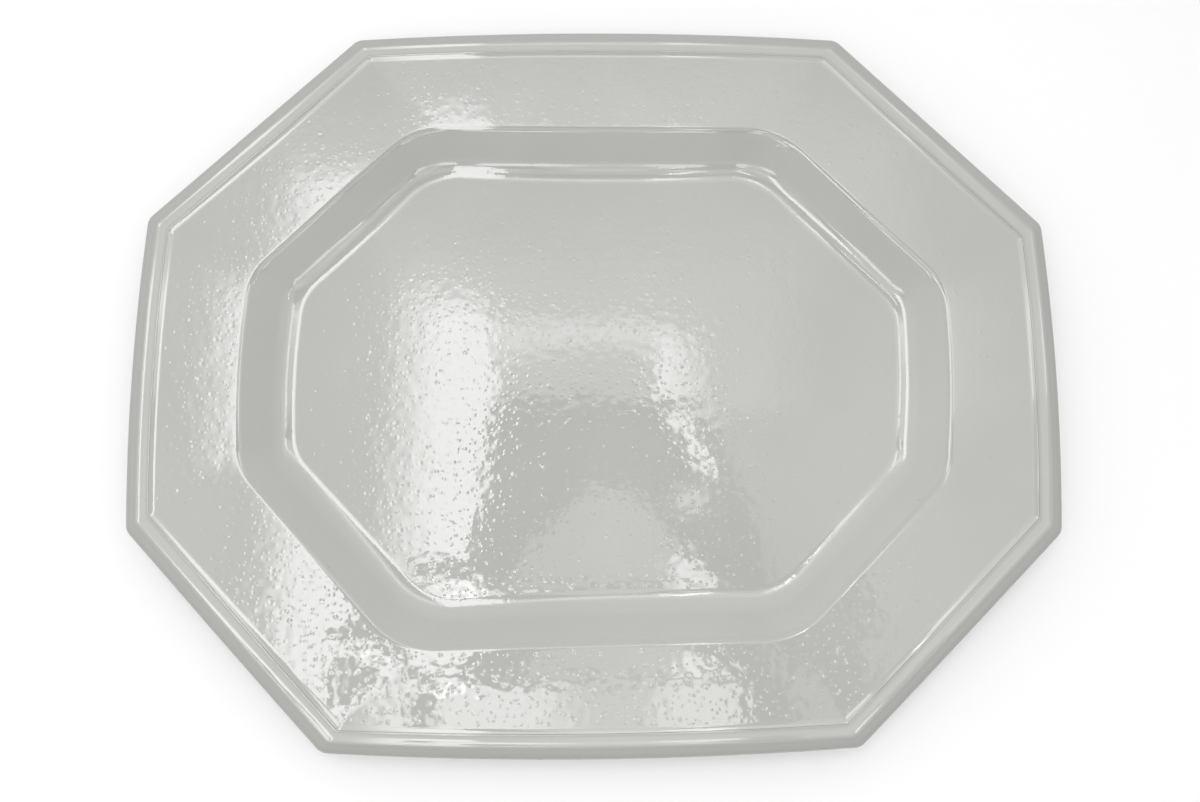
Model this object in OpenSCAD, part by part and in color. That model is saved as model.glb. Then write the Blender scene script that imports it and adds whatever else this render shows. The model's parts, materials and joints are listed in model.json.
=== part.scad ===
// Octagonal serving platter in white glazed ceramic.
// Millimetres. +Z is up, X runs along the platter's length, and the origin is on the surface that it
// stands on, under its centre.
//
// Every surface is a stack of eight-sided rings. A ring is placed by its inset, the distance inward from
// the platter's outer edge, and by its height. The outline changes evenly with the inset, from the outer
// octagon to the octagon of the well floor.

/* [Outer octagon] */
// Length over the flats of the two short sides
outer_l = 406; // [380:1:440]
// Width over the flats of the two long sides
outer_w = 321; // [300:1:345]
// How much each corner is cut off, along X and along Y
outer_cut = 90; // [80:1:105]
// How far the long sides bulge at their middle
outer_bow_long = 3.5; // [0:0.5:5]
// How far the short sides bulge at their middle
outer_bow_short = 2; // [0:0.5:4]

/* [Well floor octagon] */
// Length of the well floor
floor_l = 269; // [255:1:285]
// Width of the well floor
floor_w = 190; // [180:1:200]
// How much each corner of the floor is cut off, along X and along Y
floor_cut = 60; // [50:1:66]
// How far the floor's short sides bulge at their middle
floor_bow_short = 1; // [0:0.5:3]

/* [Heights] */
// Height of the foot ring below the base
foot_h = 2.5; // [1.5:0.25:4]
// Thickness of the ware at the well floor and the border
ware_t = 6.5; // [5.5:0.25:8]
// Depth of the well, from the border's inner edge down to the floor
well_d = 10.9; // [9:0.1:13]
// Rise of the border, from its inner edge out to the rim moulding
border_rise = 3.9; // [2:0.1:5]

/* [Rim moulding] */
// Radius of the rounded outer bead
bead_r = 2.7; // [2.4:0.1:3]
// Inset of the crest line inside the bead
crest_inset = 5.5; // [5.2:0.1:6.2]
// Height of the crest line above the border's outer edge
crest_h = 1.2; // [0.9:0.1:1.4]
// Depth of the shallow cove between the crest line and the step
cove_d = 0.15; // [0:0.05:0.3]
// Inset of the foot of the step between the moulding and the border
step_inset = 13.3; // [13:0.1:14]
// Height of that step
step_h = 0.65; // [0.65:0.05:0.85]

/* [Border and cavetto] */
// Width of the cavetto, from the border's inner edge to the edge of the floor
cavetto_w = 24.3; // [23.5:0.1:28]
// How far the border dips below a straight slope at its middle
border_dish = 0; // [0:0.1:0.8]

/* [Foot ring] */
// Width of the bare face that the platter stands on
foot_w = 4.5; // [3.5:0.5:6]

/* [Glaze] */
// Thickness of the glaze
glaze_t = 0.45; // [0.3:0.05:0.5]

/* [Hidden] */

glaze_colour = [0.79, 0.8, 0.78];
clay_colour = [0.86, 0.82, 0.74];

// How far the foot ring stands outside the edge of the well floor
foot_offset = 3;

// Heights above the surface that the platter stands on
floor_z = foot_h + ware_t;
edge_z = floor_z + well_d;
border_z = edge_z + border_rise;
crest_z = border_z + crest_h;
step_z = border_z + step_h;

// Insets of the edge of the well floor, of the border's inner edge, and of the foot ring, which stands
// under the start of the cavetto
floor_inset = (outer_l - floor_l) / 2;
edge_inset = floor_inset - cavetto_w;
foot_inset = floor_inset - foot_offset;

// Corner radius of a ring, by its inset: soft at the outer edge, crisp on the moulding, broad in the well
corner_radii = [[0, 7], [5.5, 4], [12.5, 2.5], [16.5, 3], [26, 15], [edge_inset, 30],
    [floor_inset, 27]];

// Radii of the rounded parts of the profile
fillet_r = 20;
edge_r = 8;
step_fillet_r = 7;
step_edge_r = 2;
crest_r = 1.5;

// Slopes, in degrees from level, positive where they fall toward the middle
border_slope = atan2(border_rise, edge_inset - step_inset);
riser_slope = 22;
lip_slope = -3;
cove_slope = 15;
crest_fall = 20;

// Slopes of the bead's surface where the moulding meets it and where the underside leaves it
bead_start = -crest_fall;
bead_end = -190;

// Drop from the crest line to the top of the bead
bead_drop = 1.1;

// The underside's bend below the edge of the border, how much of each slope its softening takes up, and how
// far the lower slope stops outside the foot and above the base
bend_offset = 1;
bend_soft_outer = 0.1;
bend_soft_inner = 0.15;
under_gap = 2;
under_lift = 0.6;

// Height at which the glaze ends on the sides of the foot, and how far those sides lean
glaze_end_z = 1;
foot_lean = 0.6;

// The small rounding where the base meets the foot, as two widths and a height
base_round = [1, 2.4];
base_round_h = 0.15;

// An octagon's corner turns an eighth of a circle, half of it each side of the corner's middle
corner_turn = 45;
half_turn = corner_turn / 2;

// Steps in each corner, in each bulging side, in each arc of the profile and in each of its curves
corner_steps = 3;
side_steps = 6;
arc_steps = 3;
fillet_steps = 5;
bead_steps = 8;
curve_steps = 4;

function mix(a, b, t) = a + (b - a) * t;
function last(list) = list[len(list) - 1];
function reversed(list) = [for (i = [len(list) - 1:-1:0]) list[i]];

// How far a curve has sagged at t, from none at 0 and 1 to the whole of depth at the middle
function sag(depth, t) = depth * 4 * t * (1 - t);

// ---- Outline of one ring ----

// The eight sharp corners of an octagon, anticlockwise from the right side's lower corner
function octagon(a, b, cut) = [
    [a, cut - b], [a, b - cut], [a - cut, b], [cut - a, b],
    [-a, b - cut], [-a, cut - b], [cut - a, -b], [a - cut, -b]];

// Points round one corner, where the outward direction at its middle is turn
function corner_points(corner, turn, r) =
    let (centre = corner - r / cos(half_turn) * [cos(turn), sin(turn)])
    [for (i = [0:corner_steps])
        let (angle = turn - half_turn + corner_turn * i / corner_steps)
        centre + r * [cos(angle), sin(angle)]];

// Points between two corners, along a side that bulges by bow. A diagonal has no bow and needs none.
function side_points(from, to, bow) =
    let (along = to - from, outward = [along.y, -along.x] / norm(along))
    bow == undef ? [] : [for (i = [1:side_steps - 1])
        let (t = i / side_steps)
        from + along * t + outward * sag(bow, t)];

// The closed outline at an inset. Even sides are the platter's four flats and odd ones are its diagonals.
function ring_outline(inset) =
    let (t = inset / floor_inset,
        corners = octagon(mix(outer_l, floor_l, t) / 2, mix(outer_w, floor_w, t) / 2,
            mix(outer_cut, floor_cut, t)),
        bow_short = mix(outer_bow_short, floor_bow_short, t),
        bow_long = max(mix(outer_bow_long, 0, t), 0),
        bows = [bow_short, undef, bow_long, undef],
        r = lookup(inset, corner_radii),
        rounded = [for (i = [0:7]) corner_points(corners[i], corner_turn * i - half_turn, r)])
    [for (i = [0:7])
        each concat(rounded[i], side_points(last(rounded[i]), rounded[(i + 1) % 8][0], bows[i % 4]))];

ring_size = len(ring_outline(0));

// ---- Profile, as [inset, height] points, from the middle of the face out and round to the underside ----

// The direction that a surface of some slope faces
function facing(slope) = [sin(slope), cos(slope)];

// Points of a rounded edge about its centre, from one slope to another. A fillet has a negative r.
function round_over(centre, r, from, to, steps) =
    [for (i = [0:steps]) centre + r * facing(mix(from, to, i / steps))];

// Points strictly between two others, on a curve that sags by depth
function curve_points(from, to, depth, steps) =
    [for (i = [1:steps - 1]) mix(from, to, i / steps) - [0, sag(depth, i / steps)]];

// The fillet at the edge of the floor, and the rounded edge of the border. The straight cavetto between
// them is tangent to both.
fillet_centre = [floor_inset, floor_z + fillet_r];
edge_centre = [edge_inset, edge_z] - edge_r * facing(border_slope);
centres = fillet_centre - edge_centre;
cavetto_slope = asin((fillet_r + edge_r) / norm(centres)) - atan2(centres.y, centres.x);
fillet = round_over(fillet_centre, -fillet_r, 0, cavetto_slope, fillet_steps);
edge = round_over(edge_centre, edge_r, cavetto_slope, border_slope, arc_steps);

// The step up from the border to the moulding, with a fillet below and a rounded edge above
step_fillet = round_over([step_inset, border_z] + step_fillet_r * facing(border_slope), -step_fillet_r,
    border_slope, riser_slope, arc_steps);
lip_z = step_z - step_edge_r * (1 - cos(riser_slope));
lip = [last(step_fillet).x - (lip_z - last(step_fillet).y) / tan(riser_slope), lip_z];
step_edge = round_over(lip - step_edge_r * facing(riser_slope), step_edge_r, riser_slope, lip_slope,
    arc_steps);

// The border, a long slope with a slight dish
border = curve_points(last(edge), step_fillet[0], border_dish, curve_steps);

// The crest line, and the shallow cove between it and the step
crest = round_over([crest_inset, crest_z - crest_r], crest_r, cove_slope, -crest_fall, arc_steps);
cove = curve_points(last(step_edge), crest[0], cove_d, curve_steps);

// The rounded bead at the outer edge
bead = round_over([bead_r, crest_z - bead_drop - bead_r], bead_r, bead_start, bead_end, bead_steps);

// The underside, at the thickness of the ware below the face, in two slopes with a softened bend
under_bend = [edge_inset - bend_offset, edge_z - ware_t];
under_end = [foot_inset - under_gap, foot_h + under_lift];
under = [mix(under_bend, last(bead), bend_soft_outer), mix(under_bend, under_end, bend_soft_inner),
    under_end];

// The foot ring's bare face, and the ends of the glaze on its outer and inner sides
foot_face = [[foot_inset, 0], [foot_inset + foot_w, 0]];
glaze_end_outer = [foot_inset - foot_lean, glaze_end_z];
glaze_end_inner = [foot_inset + foot_w + foot_lean, glaze_end_z];

// The base inside the foot ring, with a small rounding where they meet
base = [[glaze_end_inner.x + base_round[0], foot_h - base_round_h],
    [glaze_end_inner.x + base_round[1], foot_h]];

// The glazed surface in two runs, one each side of the bare foot
face_run = concat(fillet, edge, border, step_fillet, step_edge, cove, crest, bead, under,
    [glaze_end_outer]);
base_run = concat([glaze_end_inner], base);

// The clay surface lies one glaze thickness below the glazed one, and meets it at end, where the glaze ends
function below(run, i) =
    let (along = run[min(i + 1, len(run) - 1)] - run[max(i - 1, 0)])
    run[i] + glaze_t * [-along.y, along.x] / norm(along);
function clay_run(run, end) = [for (i = [0:len(run) - 1]) i == end ? run[i] : below(run, i)];

face_clay = clay_run(face_run, len(face_run) - 1);
base_clay = clay_run(base_run, 0);

// ---- Solids ----

// A closed solid from rings in order: each pair is joined, and the first and last are capped
module ring_solid(profile) {
    last_ring = len(profile) - 1;
    points = [for (point = profile, p = ring_outline(point.x)) [p.x, p.y, point.y]];
    sides = [for (k = [0:last_ring - 1], i = [0:ring_size - 1])
        let (j = (i + 1) % ring_size, this = k * ring_size, next = this + ring_size)
        each [[this + i, next + j, next + i], [this + i, this + j, next + j]]];
    first_cap = [for (i = [ring_size - 1:-1:0]) i];
    last_cap = [for (i = [0:ring_size - 1]) last_ring * ring_size + i];
    polyhedron(points, concat([first_cap, last_cap], sides), convexity = 6);
}

// The fired clay: the whole dish, less the glaze, standing on the bare face of its foot ring
module clay_body() {
    color(clay_colour) ring_solid(concat(face_clay, foot_face, base_clay));
}

// The glaze over the face, the rim and the outer underside, thinning to nothing on the foot's outer side
module face_glaze() {
    inner = [for (i = [0:len(face_clay) - 2]) face_clay[i]];
    color(glaze_colour) ring_solid(concat(face_run, reversed(inner)));
}

// The glaze over the base inside the foot ring
module base_glaze() {
    inner = [for (i = [1:len(base_clay) - 1]) base_clay[i]];
    color(glaze_colour) ring_solid(concat(reversed(inner), base_run));
}

clay_body();
face_glaze();
base_glaze();
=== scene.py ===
import json
import math

import bpy
import numpy as np
from mathutils import Matrix, Vector, noise


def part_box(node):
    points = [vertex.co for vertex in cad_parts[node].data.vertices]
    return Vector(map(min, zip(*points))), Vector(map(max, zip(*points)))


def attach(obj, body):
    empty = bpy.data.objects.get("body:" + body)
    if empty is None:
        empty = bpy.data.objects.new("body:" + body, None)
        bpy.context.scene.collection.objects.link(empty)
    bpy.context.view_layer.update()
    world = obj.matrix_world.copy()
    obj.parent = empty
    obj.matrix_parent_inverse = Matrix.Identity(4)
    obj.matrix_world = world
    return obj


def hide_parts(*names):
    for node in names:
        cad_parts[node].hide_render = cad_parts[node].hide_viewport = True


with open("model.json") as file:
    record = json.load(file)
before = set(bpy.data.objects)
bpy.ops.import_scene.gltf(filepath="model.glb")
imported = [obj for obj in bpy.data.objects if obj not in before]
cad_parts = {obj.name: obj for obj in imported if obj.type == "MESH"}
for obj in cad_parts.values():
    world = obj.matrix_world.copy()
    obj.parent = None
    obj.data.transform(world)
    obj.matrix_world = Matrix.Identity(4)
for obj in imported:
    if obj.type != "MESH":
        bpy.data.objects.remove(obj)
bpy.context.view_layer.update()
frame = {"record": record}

# The platter is a stack of eight-sided rings, as in the CAD model. A ring is placed by its inset, the
# distance inward from the outer edge, and by its height. All sizes are in metres.
MM = 0.001

# ---- Sizes taken from the frame ----

glaze_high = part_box("face_glaze")[1]
clay_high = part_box("clay_body")[1]
base_low, base_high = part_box("base_glaze")
mount_places = {mount["name"]: mount["pos_m"] for mount in frame["record"]["mounts"]}

GLAZE_T = glaze_high.x - clay_high.x
GLAZE_END_Z = base_low.z
FLOOR_Z = mount_places["well_floor"][2]
BASE_Z = base_high.z - GLAZE_T

# How far the four flats bulge at their middle, at the outer edge and at the well floor
BOW_SHORT = (2.2 * MM, 1 * MM)
BOW_LONG = (3.5 * MM, -1.5 * MM)
# Room for the waviness of the surface below the top of the CAD model's box
WAVE_ROOM = 0.2 * MM
# How far the long sides stay inside that box
SIDE_ROOM = 0.4 * MM
# Outer octagon and the octagon of the floor line, as half length and half width
OUTER = np.array([glaze_high.x - BOW_SHORT[0], glaze_high.y - BOW_LONG[0] - SIDE_ROOM])
FLOOR = np.array([138 * MM, 98 * MM])
FLOOR_LINE = OUTER[0] - FLOOR[0]
# How much each corner is cut off, by inset
CUT_INSETS = np.array([0, 45, 65, 75]) * MM
CUTS = np.array([90.5, 73, 61.5, 55.5]) * MM
# How far each corner strays from a true octagon along X and Y, at the outer edge and at the floor line. They
# go anticlockwise from the right side's lower corner.
OUTER_STRAY = np.array([
    [-0.6, 1], [0, 0], [-0.1, 0], [0.4, -1],
    [-0.4, 1], [0.9, 0], [-1.1, -1.5], [-0.6, 1.5]]) * MM
FLOOR_STRAY = np.array([
    [-1.1, -1], [1.9, -2], [-0.1, 0], [-0.6, 0.5],
    [0.9, 1.5], [0.9, 2], [2.4, -3.5], [3.9, 1.5]]) * MM

# ---- Sizes of the profile ----

# The border's inner edge, and its outer edge at the foot of the moulding's step
EDGE_INSET = 44.2 * MM
EDGE_Z = FLOOR_Z + 10.9 * MM
STEP_INSET = 13.3 * MM
BORDER_Z = EDGE_Z + 3.9 * MM - WAVE_ROOM
# The moulding's step and crest line, and the hollow between them
STEP_Z = BORDER_Z + 0.8 * MM
CREST_INSET = 5.5 * MM
CREST_Z = BORDER_Z + 1.1 * MM
COVE_D = 0.16 * MM
# The round outer edge, and how far its top lies below the crest line
BEAD_R = 2.7 * MM
BEAD_DROP = 1.1 * MM
# The start of the cavetto and the foot ring, which stands under it
FILLET_INSET = FLOOR_LINE + 3.6 * MM
FOOT_INSET = FILLET_INSET - 2.9 * MM
FOOT_W = 4.5 * MM
FOOT_LEAN = 0.6 * MM
WARE_T = 6.5 * MM
# The underside's bend inside the border's inner edge, and where its lower slope stops outside the foot and
# above the base
BEND_OFFSET = 1 * MM
UNDER_GAP = 2 * MM
UNDER_LIFT = 0.6 * MM
# How much of the slope outside and inside that bend its softening takes up
BEND_SOFT_OUTER = 0.1
BEND_SOFT_INNER = 0.15
# The rounded edge of the foot's face, as distances in from the edge and heights
FOOT_ROUND = np.array([[-0.25, 0.35], [0.1, 0.08], [0.5, 0]]) * MM
# The rounding where the base meets the foot, as distances inside the foot and heights from the base
BASE_ROUND = np.array([[0.5, -0.5], [1.1, -0.12], [2.4, 0], [4, 0]]) * MM
# Where the hidden base of the clay starts, inside the foot
CLAY_BASE_GAP = 1.5 * MM
# Room between the back of the glaze and the clay, so that their surfaces don't coincide
CLAY_GAP = 0.02 * MM
# Radii of the rounded parts
FILLET_R = 20 * MM
EDGE_R = 8 * MM
STEP_FILLET_R = 12 * MM
STEP_EDGE_R = 2 * MM
CREST_R = 2.5 * MM
# Slopes, positive where they fall toward the middle, apart from CREST_FALL, which falls outward
RISER_SLOPE = math.radians(20.5)
LIP_SLOPE = math.radians(-4)
COVE_SLOPE = math.radians(17)
CREST_FALL = math.radians(20)
BEAD_END = math.radians(-190)
BORDER_SLOPE = math.atan2(BORDER_Z - EDGE_Z, EDGE_INSET - STEP_INSET)

# Corner radius of a ring, by its inset, at the ends of the short flats and at the ends of the long flats
RADIUS_INSETS = np.array([0, 5.5, 12.4, 16.4, 26, 45, 66.5, 76.5]) * MM
SHORT_RADII = np.array([7, 4, 2.5, 3, 14, 26, 23, 21]) * MM
LONG_RADII = np.array([7, 4, 2.5, 3, 18, 37, 32, 30]) * MM

# Radius of a hollow in which the glaze pools fully. The pooled glaze is lighter, which is partly painted
# highlight along the fillets.
POOL_RADIUS = 6 * MM
# Painted shade on the rim outside the crest line: what it adds to the glaze pooling mark, darkening that
# band, and the width over which it comes in
RIM_PAINTED_SHADE = -1.2
RIM_PAINTED_SHADE_RUN = 0.8 * MM

# How far the near side has dropped: none up to START from the middle, and DROP at RUN beyond it
SETTLING_START = 102 * MM
SETTLING_RUN = 60 * MM
SETTLING_DROP = 1.8 * MM

# The waves of the fired surface, as wavelength, seed and height in millimetres
LONG_WAVE = (60 * MM, 3.1, 0.13)
SHORT_WAVE = (22 * MM, 8.7, 0.02)

# Steps round one corner, and along each side from the right one on: a short flat, a diagonal, a long flat and
# a diagonal, and then the same again
CORNER_STEPS = 12
SIDE_STEPS = {0: 46, 1: 38, 2: 64, 3: 38}
# Steps in an arc of the profile, for the glaze's face, its hidden back and the clay
FACE_DETAIL = 12
BACK_DETAIL = 2
CLAY_DETAIL = 3
# Steps from the middle out to the edge of a flat disc, for the well floor, the base, and the hidden discs
FLOOR_STEPS = 34
BASE_STEPS = 30
UNDER_FLOOR_STEPS = 3
HIDDEN_STEPS = 4


def mix(a, b, t):
    return a + (b - a) * t


def sag(depth, t):
    """A parabola that is 0 at both ends, t = 0 and t = 1, and depth at the middle."""
    return depth * 4 * t * (1 - t)


# ---- Outline of one ring ----


def octagon(a, b, cut):
    """The corners of an octagon of half length a and half width b, with corners cut off by cut."""
    return np.array([
        [a, cut - b], [a, b - cut], [a - cut, b], [cut - a, b],
        [-a, b - cut], [-a, cut - b], [cut - a, -b], [a - cut, -b]])


def corner_arc(corner, turn, r):
    eighth = math.pi / 8
    centre = corner - r / math.cos(eighth) * np.array([math.cos(turn), math.sin(turn)])
    angles = turn + np.linspace(-eighth, eighth, CORNER_STEPS + 1)
    return centre + r * np.column_stack([np.cos(angles), np.sin(angles)])


def side_curve(start, end, bow, steps):
    along = end - start
    outward = np.array([along[1], -along[0]]) / np.linalg.norm(along)
    t = np.linspace(0, 1, steps + 1)[1:-1, None]
    return start + along * t + outward * sag(bow, t)


def ring_outline(inset):
    """The plan points of a ring, anticlockwise."""
    t = inset / FLOOR_LINE
    corners = octagon(*mix(OUTER, FLOOR, t), np.interp(inset, CUT_INSETS, CUTS))
    corners = corners + mix(OUTER_STRAY, FLOOR_STRAY, t)
    bows = [mix(*BOW_SHORT, t), 0, mix(*BOW_LONG, t), 0]
    short_r, long_r = (np.interp(inset, RADIUS_INSETS, radii) for radii in (SHORT_RADII, LONG_RADII))
    radii = [short_r, short_r, long_r, long_r] * 2
    arcs = [corner_arc(corners[i], math.pi / 8 + math.pi / 4 * (i - 1), radii[i]) for i in range(8)]
    runs = []
    for i in range(8):
        runs.append(arcs[i])
        runs.append(side_curve(arcs[i][-1], arcs[(i + 1) % 8][0], bows[i % 4], SIDE_STEPS[i % 4]))
    return np.vstack(runs)


# ---- Profile, as (inset, height) points from the well floor out and round to the foot ----


def round_over(centre, r, start, end, steps):
    """Points on an arc about a centre, from one slope to another, where a slope falls toward the middle."""
    slopes = np.linspace(start, end, steps + 1)
    return np.array(centre) + r * np.column_stack([np.sin(slopes), np.cos(slopes)])


def facing(slope):
    """The direction in which a surface of that slope faces, as (inset, height)."""
    return np.array([math.sin(slope), math.cos(slope)])


def between(start, end, depth, steps):
    """Points between two ends, without the ends, hollowed by depth at the middle."""
    t = np.linspace(0, 1, steps + 1)[1:-1, None]
    return mix(start, end, t) - np.hstack([0 * t, sag(depth, t)])


def well_curves(detail):
    """The fillet at the edge of the floor and the rounded edge of the border. The cavetto joins them."""
    fillet_centre = np.array([FILLET_INSET, FLOOR_Z + FILLET_R])
    edge_centre = np.array([EDGE_INSET, EDGE_Z]) - EDGE_R * facing(BORDER_SLOPE)
    run, rise = fillet_centre - edge_centre
    slope = math.asin((FILLET_R + EDGE_R) / math.hypot(run, rise)) - math.atan2(rise, run)
    return (round_over(fillet_centre, -FILLET_R, 0, slope, 2 * detail),
            round_over(edge_centre, EDGE_R, slope, BORDER_SLOPE, detail))


def step_curves(detail):
    """The fillet below the moulding's step and the rounded edge on top of it."""
    fillet_centre = np.array([STEP_INSET, BORDER_Z]) + STEP_FILLET_R * facing(BORDER_SLOPE)
    fillet = round_over(fillet_centre, -STEP_FILLET_R, BORDER_SLOPE, RISER_SLOPE, detail)
    lip_z = STEP_Z - STEP_EDGE_R * (1 - math.cos(RISER_SLOPE))
    riser_run = (lip_z - fillet[-1][1]) / math.tan(RISER_SLOPE)
    lip = np.array([fillet[-1][0] - riser_run, lip_z])
    edge_centre = lip - STEP_EDGE_R * facing(RISER_SLOPE)
    edge = round_over(edge_centre, STEP_EDGE_R, RISER_SLOPE, LIP_SLOPE, detail)
    return fillet, edge


def face_profile(detail):
    """The glazed surface from the edge of the floor to the foot. Detail is the number of steps in an arc."""
    fillet, edge = well_curves(detail)
    step_fillet, step_edge = step_curves(detail)
    crest = round_over((CREST_INSET, CREST_Z - CREST_R), CREST_R, COVE_SLOPE, -CREST_FALL, detail)
    bead_centre = (BEAD_R, CREST_Z - BEAD_DROP - BEAD_R)
    bead = round_over(bead_centre, BEAD_R, -CREST_FALL, BEAD_END, 3 * detail // 2)
    under_bend = np.array([EDGE_INSET - BEND_OFFSET, EDGE_Z - WARE_T])
    under_end = np.array([FOOT_INSET - UNDER_GAP, BASE_Z + UNDER_LIFT])
    return np.vstack([
        fillet, between(fillet[-1], edge[0], 0, 3 * detail // 4),
        edge, between(edge[-1], step_fillet[0], 0, 4 * detail // 3),
        step_fillet, step_edge, between(step_edge[-1], crest[0], COVE_D, detail),
        crest, between(crest[-1], bead[0], 0, 4), bead,
        between(bead[-1], under_bend, 0, detail // 2)[:-1],
        mix(under_bend, bead[-1], BEND_SOFT_OUTER), mix(under_bend, under_end, BEND_SOFT_INNER),
        mix(under_bend, under_end, 0.5), under_end,
        [[FOOT_INSET - FOOT_LEAN, GLAZE_END_Z]]])


def below(profile, depth):
    """The profile moved inward by depth along its own normals."""
    along = np.gradient(profile, axis=0)
    normal = np.column_stack([-along[:, 1], along[:, 0]]) / np.linalg.norm(along, axis=1)[:, None]
    return profile + depth * normal


# ---- Meshes ----


def rings_to_points(profile):
    return np.array([np.column_stack([ring_outline(s), np.full(RING_SIZE, z)]) for s, z in profile])


def disc_rings(edge_ring, steps):
    """Rings from near the middle of a flat disc out to just inside its edge ring."""
    scales = np.linspace(0, 1, steps + 1)[1:-1, None, None]
    flat = edge_ring[None] * np.array([1, 1, 0])
    return flat * scales + np.array([0, 0, edge_ring[0, 2]])


def build_mesh(name, rings, middle_first, middle_last):
    """A closed mesh from rings in order, with a fan to a middle point at either end."""
    count, size = rings.shape[:2]
    points = np.vstack([rings.reshape(-1, 3), middle_first, middle_last])
    i = np.arange(size)
    j = (i + 1) % size
    faces = []
    for k in range(count - 1):
        a, b = k * size, (k + 1) * size
        faces += np.column_stack([a + i, b + i, b + j, a + j]).tolist()
    first, last = np.full(size, len(points) - 2), np.full(size, len(points) - 1)
    last_ring = (count - 1) * size
    faces += np.column_stack([first, i, j]).tolist()
    faces += np.column_stack([last, last_ring + j, last_ring + i]).tolist()
    mesh = bpy.data.meshes.new(name)
    mesh.from_pydata(points.tolist(), [], faces)
    mesh.update()
    mesh.polygons.foreach_set("use_smooth", [True] * len(mesh.polygons))
    piece = bpy.data.objects.new(name, mesh)
    bpy.context.scene.collection.objects.link(piece)
    return piece


RING_SIZE = len(ring_outline(0))


def smooth_noise(place, wavelength, seed):
    """Smooth noise in -1 to 1 over a plan position."""
    return noise.noise(Vector((place[0] / wavelength, place[1] / wavelength, seed)))


def settling(place):
    """The change in height where the ware has dropped. Only the near side of its border has."""
    return -SETTLING_DROP * (max(0, -place[1] - SETTLING_START) / SETTLING_RUN) ** 2


def unevenness(place):
    """How far the fired surface stands above its true shape, at a plan position."""
    waves = 0
    for wavelength, seed, height in (LONG_WAVE, SHORT_WAVE):
        waves += smooth_noise(place, wavelength, seed) * height
    return settling(place) + waves * MM


def add_mark(piece, name, values):
    """Stores one number for each point of the mesh, for a material to read."""
    piece.data.attributes.new(name, "FLOAT", "POINT").data.foreach_set("value", values)


def glaze_pooling_painted_light(profile):
    """How far the glaze pools or thins at each point of a profile: 1 in a tight hollow, -1 on a sharp edge
    and 0 on a flat. The lighter pooled hollows are partly painted highlight along the fillets. Painted shade,
    set by the rim constant, comes on top outside the crest line, darkening the outer rim."""
    along = np.gradient(profile, axis=0)
    slope = np.unwrap(np.arctan2(along[:, 1], -along[:, 0]))
    steps = np.linalg.norm(along, axis=1)
    bent = np.clip(np.gradient(slope) / steps * POOL_RADIUS, -1, 1)
    return bent + np.interp(profile[:, 0], [CREST_INSET - RIM_PAINTED_SHADE_RUN, CREST_INSET], [RIM_PAINTED_SHADE, 0])


def make_face_glaze():
    outer = face_profile(FACE_DETAIL)
    inner = below(face_profile(BACK_DETAIL), GLAZE_T)[:-1][::-1]
    outer_rings = rings_to_points(outer)
    inner_rings = rings_to_points(inner)
    floor = disc_rings(outer_rings[0], FLOOR_STEPS)
    under_floor = disc_rings(inner_rings[-1], UNDER_FLOOR_STEPS)[::-1]
    rings = np.concatenate([floor, outer_rings, inner_rings, under_floor])
    # The surface in view is wavy, apart from its last ring at the foot. The back only settles with it.
    faced = len(floor) + len(outer_rings) - 1
    for i, ring in enumerate(rings):
        ring[:, 2] += [unevenness(place) if i < faced else settling(place) for place in ring]
    floor_middle = [0, 0, FLOOR_Z + unevenness((0, 0))]
    piece = build_mesh("face_glaze_coat", rings, floor_middle, [0, 0, FLOOR_Z - GLAZE_T])
    # One value of the pooling mark, partly painted light, for each point of every ring, and for the two
    # middle points
    pool_mark_with_painted_light = np.zeros(len(rings) * RING_SIZE + 2)
    start = len(floor) * RING_SIZE
    end = start + len(outer) * RING_SIZE
    pool_mark_with_painted_light[start:end] = np.repeat(glaze_pooling_painted_light(outer), RING_SIZE)
    add_mark(piece, "glaze_pooling_painted_light", pool_mark_with_painted_light)
    return piece


def make_base_glaze():
    inner_edge = FOOT_INSET + FOOT_W + FOOT_LEAN
    run = np.vstack([[inner_edge, GLAZE_END_Z], BASE_ROUND + [inner_edge, BASE_Z]])
    inner = below(run, GLAZE_T)[1:][::-1]
    run_rings = rings_to_points(run)
    inner_rings = rings_to_points(inner)
    under = disc_rings(run_rings[-1], BASE_STEPS)[::-1]
    over = disc_rings(inner_rings[0], HIDDEN_STEPS)
    rings = np.concatenate([over, inner_rings, run_rings, under])
    return build_mesh("base_glaze_coat", rings, [0, 0, BASE_Z + GLAZE_T], [0, 0, BASE_Z])


def make_clay_body():
    face = below(face_profile(CLAY_DETAIL), GLAZE_T + CLAY_GAP)[:-1]
    foot_end = FOOT_INSET + FOOT_W
    foot = np.vstack([
        [FOOT_INSET - FOOT_LEAN, GLAZE_END_Z],
        FOOT_ROUND + [FOOT_INSET, 0],
        (FOOT_ROUND * [-1, 1] + [foot_end, 0])[::-1],
        [foot_end + FOOT_LEAN, GLAZE_END_Z],
        [foot_end + FOOT_LEAN + CLAY_BASE_GAP, BASE_Z + GLAZE_T]])
    profile_rings = rings_to_points(np.vstack([face, foot]))
    floor = disc_rings(profile_rings[0], HIDDEN_STEPS)
    base = disc_rings(profile_rings[-1], HIDDEN_STEPS)[::-1]
    rings = np.concatenate([floor, profile_rings, base])
    for ring in rings:
        ring[:, 2] += [settling(place) for place in ring]
    return build_mesh("clay_ware", rings, [0, 0, face[0][1]], [0, 0, BASE_Z + GLAZE_T])


# ---- Materials ----

# Glaze colours by thickness, as position and colour, and what makes up the thickness. Its pooled share is
# partly painted highlight in the hollows and painted shade on the rim outside the crest line.
GLAZE_COLOURS = [
    (0.1, (0.385, 0.385, 0.368, 1)),
    (0.5, (0.435, 0.44, 0.418, 1)),
    (0.9, (0.565, 0.575, 0.55, 1))]
CLOUD_WAVE = 90 * MM
THICKNESS_PLAIN = 0.35
THICKNESS_CLOUDS = 0.3
THICKNESS_POOLED_PAINTED_LIGHT = 0.22
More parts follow.
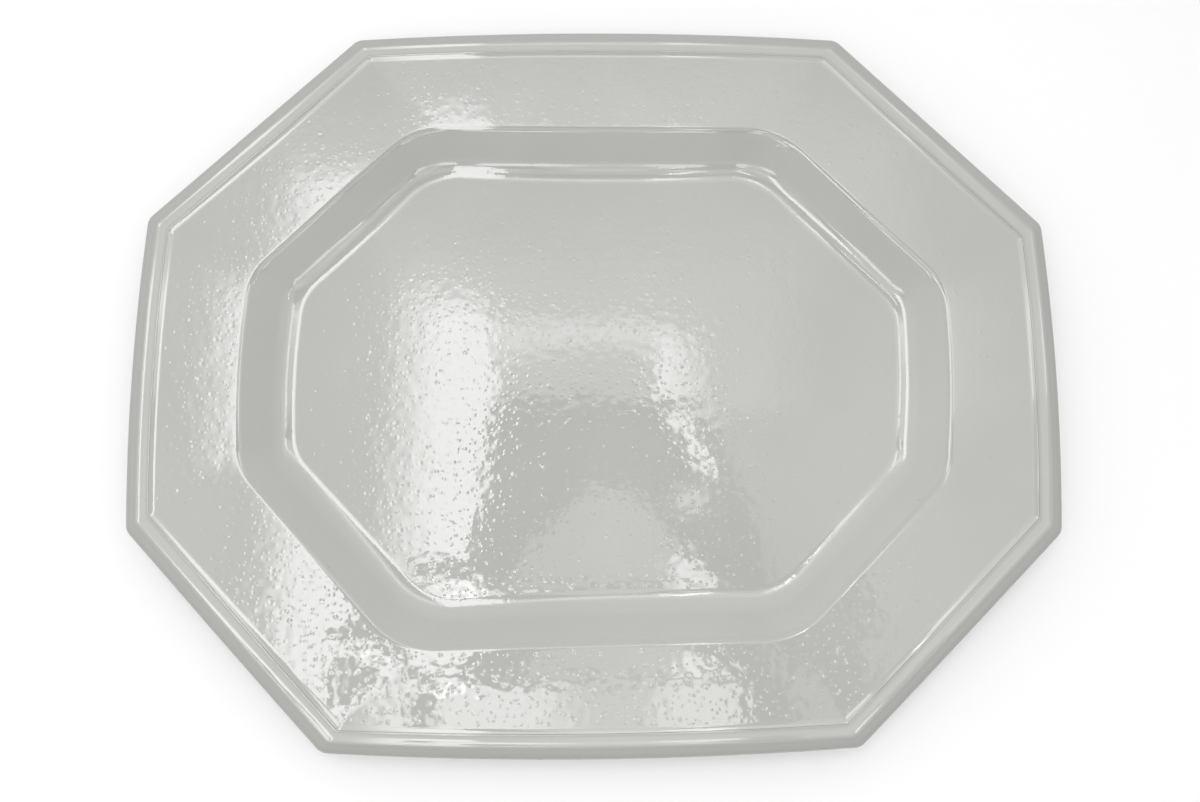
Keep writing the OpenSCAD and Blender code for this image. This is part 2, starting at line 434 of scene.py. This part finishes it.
# Faint specks in the glaze: spacing, radius, the share of cells with one, shift, colour and strength
SPECKS = (16 * MM, 0.7 * MM, 0.25, 3.3)
SPECK_COLOUR = (0.20, 0.18, 0.14, 1)
SPECK_STRENGTH = 0.3
# The hammered surface: ripples as wavelength and height, and spots as spacing, radius, share, shift and
# height
GLAZE_RIPPLES = [(16 * MM, 0.12 * MM), (4 * MM, 0.075 * MM)]
GLAZE_SPOTS = [
    (3.2 * MM, 1.4 * MM, 0.8, 0, 0.032 * MM),
    (6 * MM, 1.5 * MM, 0.5, 7.7, -0.06 * MM),
    (13 * MM, 1.5 * MM, 0.6, 3.9, 0.10 * MM)]
# Its strength on the far side, and the places along Y between which it grows to 1 on the near side
FAR_STRENGTH = 0.55
HAMMER_START_Y = -60 * MM
HAMMER_END_Y = -120 * MM
# How fast it fades where the profile bends
BENT_FADE = -2.5

# Clay colours, as position and colour, the wavelength of its clouds, and its grain as wavelength and height
CLAY_COLOURS = [(0.3, (0.42, 0.34, 0.24, 1)), (0.7, (0.66, 0.58, 0.46, 1))]
CLAY_CLOUD_WAVE = 12 * MM
CLAY_GRAIN = (0.6 * MM, 0.06 * MM)


def new_material(name):
    material = bpy.data.materials.new(name)
    material.use_nodes = True
    tree = material.node_tree
    return material, tree, tree.nodes["Principled BSDF"]


def add_node(tree, kind, settings=None, **inputs):
    """A node with its settings, and its inputs by name: a value, or a socket to link from."""
    node = tree.nodes.new(kind)
    for key, value in (settings or {}).items():
        setattr(node, key, value)
    for key, value in inputs.items():
        socket = node.inputs[key.replace("_", " ")]
        if isinstance(value, bpy.types.NodeSocket):
            tree.links.new(value, socket)
        else:
            socket.default_value = value
    return node


def noise_height(tree, place, wavelength, detail):
    return add_node(tree, "ShaderNodeTexNoise", None, Vector=place, Scale=1 / wavelength,
                    Detail=detail, Roughness=0.5).outputs["Fac"]


def math_node(tree, operation, *values):
    node = tree.nodes.new("ShaderNodeMath")
    node.operation = operation
    for socket, value in zip(node.inputs, values):
        if isinstance(value, bpy.types.NodeSocket):
            tree.links.new(value, socket)
        else:
            socket.default_value = value
    return node.outputs["Value"]


def smooth_step(tree, value, start, end):
    """0 where value is at start, 1 where it is at end, smooth between them."""
    return add_node(tree, "ShaderNodeMapRange", {"interpolation_type": "SMOOTHSTEP"}, Value=value,
                    **{"From Min": start, "From Max": end}).outputs["Result"]


def bump(tree, height, depth, normal=None, strength=1.0):
    inputs = {"Height": height, "Distance": depth, "Strength": strength}
    if normal is not None:
        inputs["Normal"] = normal
    return add_node(tree, "ShaderNodeBump", None, **inputs).outputs["Normal"]


def colour_ramp(tree, factor, stops):
    """The colour for a factor, from stops with a position and a colour, lowest first."""
    ramp = add_node(tree, "ShaderNodeValToRGB", None, Fac=factor)
    elements = ramp.color_ramp.elements
    for i, (position, colour) in ((0, stops[0]), (1, stops[-1])):
        elements[i].position = position
        elements[i].color = colour
    for position, colour in stops[1:-1]:
        elements.new(position).color = colour
    return ramp.outputs["Color"]


def spots(tree, place, spacing, radius, share, shift):
    """1 at the middle of a scattered round spot and 0 away from one. Share is how many cells have a spot, and
    radius is that of the largest."""
    moved = add_node(tree, "ShaderNodeVectorMath", {"operation": "ADD"}, Vector=place).outputs["Vector"]
    moved.node.inputs[1].default_value = (shift, shift, 0)
    cell = add_node(tree, "ShaderNodeTexVoronoi", {"voronoi_dimensions": "2D"}, Vector=moved,
                    Scale=1 / spacing)
    chance, size, _ = add_node(tree, "ShaderNodeSeparateXYZ", None, Vector=cell.outputs["Color"]).outputs
    reach = math_node(tree, "MULTIPLY_ADD", size, 0.6 * radius / spacing, 0.4 * radius / spacing)
    spot = smooth_step(tree, math_node(tree, "DIVIDE", cell.outputs["Distance"], reach), 1.0, 0.0)
    return math_node(tree, "MULTIPLY", spot, math_node(tree, "LESS_THAN", chance, share))


def glaze_material():
    material, tree, shader = new_material("white_glaze")
    place = add_node(tree, "ShaderNodeTexCoord").outputs["Object"]
    clouds = noise_height(tree, place, CLOUD_WAVE, 3)
    # The pooling mark: glaze pooling, partly painted highlight in the hollows, and painted shade on the outer
    # rim
    pool_mark_with_painted_light = add_node(tree, "ShaderNodeAttribute", {"attribute_name": "glaze_pooling_painted_light"}).outputs["Fac"]
    bent = math_node(tree, "ABSOLUTE", pool_mark_with_painted_light)
    pooled_with_painted_light = math_node(tree, "MULTIPLY", pool_mark_with_painted_light, bent)
    cloudy = math_node(tree, "MULTIPLY_ADD", clouds, THICKNESS_CLOUDS, THICKNESS_PLAIN)
    thickness_with_painted_light = math_node(tree, "MULTIPLY_ADD", pooled_with_painted_light, THICKNESS_POOLED_PAINTED_LIGHT, cloudy)
    speck_share = math_node(tree, "MULTIPLY", spots(tree, place, *SPECKS), SPECK_STRENGTH)
    tint = add_node(tree, "ShaderNodeMix", {"data_type": "RGBA"}, Factor=speck_share)
    tree.links.new(colour_ramp(tree, thickness_with_painted_light, GLAZE_COLOURS), tint.inputs["A"])
    tint.inputs["B"].default_value = SPECK_COLOUR
    tree.links.new(tint.outputs["Result"], shader.inputs["Base Color"])
    shader.inputs["Roughness"].default_value = 0.05
    shader.inputs["IOR"].default_value = 1.6

    _, y, _ = add_node(tree, "ShaderNodeSeparateXYZ", None, Vector=place).outputs
    near_share = smooth_step(tree, y, HAMMER_START_Y, HAMMER_END_Y)
    hammered = math_node(tree, "MULTIPLY_ADD", near_share, 1 - FAR_STRENGTH, FAR_STRENGTH)
    even = math_node(tree, "MAXIMUM", math_node(tree, "MULTIPLY_ADD", bent, BENT_FADE, 1.0), 0.0)
    strength = math_node(tree, "MULTIPLY", even, hammered)
    normal = None
    for wavelength, height in GLAZE_RIPPLES:
        normal = bump(tree, noise_height(tree, place, wavelength, 0), height, normal, strength)
    for spacing, radius, share, shift, height in GLAZE_SPOTS:
        normal = bump(tree, spots(tree, place, spacing, radius, share, shift), height, normal, strength)
    tree.links.new(normal, shader.inputs["Normal"])
    return material


def clay_material():
    material, tree, shader = new_material("fired_clay")
    place = add_node(tree, "ShaderNodeTexCoord").outputs["Object"]
    clouds = noise_height(tree, place, CLAY_CLOUD_WAVE, 5)
    tree.links.new(colour_ramp(tree, clouds, CLAY_COLOURS), shader.inputs["Base Color"])
    shader.inputs["Roughness"].default_value = 0.85
    grain_wave, grain_height = CLAY_GRAIN
    grain = noise_height(tree, place, grain_wave, 4)
    tree.links.new(bump(tree, grain, grain_height), shader.inputs["Normal"])
    return material


# ---- Stage, lights and camera ----

# Half the side of the stage floor
STAGE_HALF = 4.0
# The room's light: how much its brightness grows along X and Y, next to 1 along Z, its greys by brightness,
# and its strength
ROOM_GROWTH_X = -0.15
ROOM_GROWTH_Y = 0.33
ROOM_GREYS = [(0.0, (0.4, 0.4, 0.4, 1)), (0.9, (1.0, 1.0, 1.0, 1))]
ROOM_STRENGTH = 1.05


def make_floor():
    half = STAGE_HALF
    corners = [(-half, -half, 0), (half, -half, 0), (half, half, 0), (-half, half, 0)]
    mesh = bpy.data.meshes.new("stage_floor")
    mesh.from_pydata(corners, [], [(0, 1, 2, 3)])
    floor = bpy.data.objects.new("stage_floor", mesh)
    bpy.context.scene.collection.objects.link(floor)
    material, _, shader = new_material("pale_floor")
    shader.inputs["Base Color"].default_value = (0.93, 0.93, 0.93, 1)
    shader.inputs["Roughness"].default_value = 0.9
    mesh.materials.append(material)


def make_world():
    """A soft white room, darker toward the horizon, the near side and the right."""
    world = bpy.data.worlds.new("soft_room")
    bpy.context.scene.world = world
    world.use_nodes = True
    tree = world.node_tree
    background = tree.nodes["Background"]
    direction = add_node(tree, "ShaderNodeTexCoord").outputs["Generated"]
    x, y, z = add_node(tree, "ShaderNodeSeparateXYZ", None, Vector=direction).outputs
    brightness = math_node(tree, "MULTIPLY_ADD", y, ROOM_GROWTH_Y, z)
    brightness = math_node(tree, "MULTIPLY_ADD", x, ROOM_GROWTH_X, brightness)
    tree.links.new(colour_ramp(tree, brightness, ROOM_GREYS), background.inputs["Color"])
    background.inputs["Strength"].default_value = ROOM_STRENGTH


# The camera: its place, its turns about Z, X and Z in degrees, and its lens and sensor width in millimetres
CAMERA_PLACE = (0.0015, -0.0859, FLOOR_Z + 0.447)
CAMERA_TURNS = (-0.67, 9.64, 0.90)
CAMERA_LENS = 30
CAMERA_SENSOR = 36
# Heights above the well floor of the camera, the window, and the card and light near the camera. CARD_GAP
# parts a card from the light at its height.
CAMERA_RISE = CAMERA_PLACE[2] - FLOOR_Z
WINDOW_RISE = 1.2
NEAR_RISE = 0.46
CARD_GAP = 0.01
WINDOW_RADIANCE = 6.0
NEAR_RADIANCE = 4.5


def brought_near(corners):
    """Plan points at the window's height, moved down to the near height so that the well floor reflects them
    to the camera from the same place."""
    share = (CAMERA_RISE + NEAR_RISE) / (CAMERA_RISE + WINDOW_RISE)
    return [tuple(mix(c, p, share) for c, p in zip(CAMERA_PLACE, corner)) for corner in corners]


def patch(tree, x, y, corners, fades):
    """1 inside a convex patch and 0 outside. Each edge, from its corner anticlockwise to the next, fades
    inward over its own distance."""
    inside = 1.0
    for start, end, fade in zip(corners, corners[1:] + corners[:1], fades):
        inward = Vector((start[1] - end[1], end[0] - start[0])).normalized()
        depth = math_node(tree, "MULTIPLY_ADD", x, inward.x, -inward.dot(Vector(start)))
        depth = math_node(tree, "MULTIPLY_ADD", y, inward.y, depth)
        inside = math_node(tree, "MULTIPLY", inside, smooth_step(tree, depth, 0.0, fade))
    return inside


def soft_light(name, low, high, rise, radiance, patches):
    """A rectangular light facing straight down between two plan corners. Its pattern is made of patches, each
    with plan corners, the fades of its edges and a brightness."""
    light = bpy.data.lights.new(name, "AREA")
    light.shape = "RECTANGLE"
    light.size, light.size_y = high[0] - low[0], high[1] - low[1]
    light.energy = radiance * math.pi * light.size * light.size_y
    light.use_nodes = True
    tree = light.node_tree
    parametric = add_node(tree, "ShaderNodeNewGeometry").outputs["Parametric"]
    across, up, _ = add_node(tree, "ShaderNodeSeparateXYZ", None, Vector=parametric).outputs
    x = math_node(tree, "MULTIPLY_ADD", across, light.size, low[0])
    y = math_node(tree, "MULTIPLY_ADD", up, light.size_y, low[1])
    pattern = 0.0
    for corners, fades, brightness in patches:
        shape = math_node(tree, "MULTIPLY", patch(tree, x, y, corners, fades), brightness)
        pattern = math_node(tree, "MAXIMUM", pattern, shape)
    tree.links.new(pattern, tree.nodes["Emission"].inputs["Strength"])
    box = bpy.data.objects.new(name, light)
    box.location = ((low[0] + high[0]) / 2, (low[1] + high[1]) / 2, FLOOR_Z + rise)
    box.visible_camera = False
    bpy.context.scene.collection.objects.link(box)


# A window: two legs, the bar between their tops, and a wide haze
WINDOW_PATCHES = [
    ([(-0.38, -0.45), (-0.19, -0.45), (-0.15, 0.20), (-0.165, 0.42), (-0.38, 0.42)],
     [0.10, 0.012, 0.03, 0.10, 0.12], 1.0),
    ([(-0.27, 0.23), (0.16, 0.23), (0.17, 0.38), (-0.27, 0.38)], [0.09, 0.03, 0.08, 0.02], 0.6),
    ([(0.075, 0.15), (0.24, 0.15), (0.24, 0.35), (0.095, 0.34)], [0.01, 0.14, 0.05, 0.02], 0.95),
    ([(-0.40, 0.15), (0.38, 0.15), (0.38, 0.53), (-0.40, 0.53)], [0.06, 0.12, 0.14, 0.1], 0.14)]

# A dim hill with a brighter right foot, a sliver, a glint, and a strip below the hill with two brighter parts
NEAR_PATCHES = [
    ([(-0.15, -0.108), (0.22, -0.108), (0.13, -0.01), (0.07, 0.055), (-0.03, 0.06), (-0.09, -0.01)],
     [0.006, 0.01, 0.01, 0.006, 0.006, 0.006], 0.33),
    ([(0.07, -0.11), (0.22, -0.11), (0.13, -0.02), (0.09, -0.03)], [0.006, 0.01, 0.03, 0.04], 1.3),
    ([(0.105, 0.175), (0.185, 0.05), (0.205, 0.07), (0.155, 0.175)], [0.006, 0.006, 0.006, 0.006], 1.5),
    ([(0.115, 0.0), (0.195, 0.0), (0.195, 0.06), (0.115, 0.06)], [0.015, 0.015, 0.015, 0.015], 0.7),
    ([(-0.25, -0.26), (0.06, -0.26), (0.06, -0.115), (-0.25, -0.115)], [0.03, 0.10, 0.004, 0.01], 1.2),
    ([(0.03, -0.26), (0.22, -0.26), (0.22, -0.115), (0.03, -0.115)], [0.03, 0.01, 0.004, 0.05], 1.0),
    ([(-0.25, -0.26), (0.22, -0.26), (0.22, -0.115), (-0.25, -0.115)], [0.03, 0.01, 0.004, 0.01], 0.45)]

# The two parts of a dark shape that hides part of the window, as plan points at the window's height. The low
# part is brought near the camera when it is built.
LOW_SHADE = [(-0.285, -0.25), (0.30, -0.25), (0.28, -0.05), (0.259, 0.0), (-0.195, 0.0), (-0.205, -0.065),
             (-0.30, -0.072), (-0.30, -0.096), (-0.185, -0.10), (-0.185, -0.128), (-0.285, -0.132)]
HIGH_SHADE = [(-0.198, -0.02), (0.267, -0.02), (0.20, 0.14), (0.15, 0.19), (-0.165, 0.19)]


def make_lights():
    soft_light("window_light", (-0.42, -0.48), (0.40, 0.55), WINDOW_RISE, WINDOW_RADIANCE, WINDOW_PATCHES)
    near = [(brought_near(corners), fades, brightness) for corners, fades, brightness in NEAR_PATCHES]
    soft_light("near_light", (-0.16, -0.19), (0.14, 0.08), NEAR_RISE - CARD_GAP, NEAR_RADIANCE, near)


def make_card(name, corners, rise, material):
    """A dark card that only reflections see. It gives the gloss something dark to reflect."""
    mesh = bpy.data.meshes.new(name)
    mesh.from_pydata([(x, y, FLOOR_Z + rise) for x, y in corners], [], [tuple(range(len(corners)))])
    card = bpy.data.objects.new(name, mesh)
    bpy.context.scene.collection.objects.link(card)
    mesh.materials.append(material)
    card.visible_camera = card.visible_diffuse = card.visible_shadow = False


def make_shade():
    material, _, shader = new_material("dark_card")
    shader.inputs["Base Color"].default_value = (0.04, 0.04, 0.04, 1)
    shader.inputs["Roughness"].default_value = 1.0
    make_card("stage_low_card", brought_near(LOW_SHADE), NEAR_RISE, material)
    make_card("stage_high_card", HIGH_SHADE, WINDOW_RISE - CARD_GAP, material)


def make_camera():
    camera = bpy.data.cameras.new("camera")
    camera.lens = CAMERA_LENS
    camera.sensor_width = CAMERA_SENSOR
    holder = bpy.data.objects.new("camera", camera)
    heading, tilt, roll = (math.radians(turn) for turn in CAMERA_TURNS)
    turn = Matrix.Rotation(heading, 4, "Z") @ Matrix.Rotation(tilt, 4, "X") @ Matrix.Rotation(roll, 4, "Z")
    holder.matrix_world = Matrix.Translation(CAMERA_PLACE) @ turn
    bpy.context.scene.collection.objects.link(holder)
    bpy.context.scene.camera = holder


def main():
    bpy.context.scene.view_settings.view_transform = "Standard"
    glaze = glaze_material()
    clay = clay_material()
    for maker, node, material, slot in (
            (make_face_glaze, "face_glaze", glaze, "white_glaze"),
            (make_base_glaze, "base_glaze", glaze, "white_glaze"),
            (make_clay_body, "clay_body", clay, "fired_clay")):
        piece = maker()
        piece.data.materials.append(material)
        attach(piece, "root")
        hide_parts(node)
    make_floor()
    make_world()
    make_lights()
    make_shade()
    make_camera()


main()
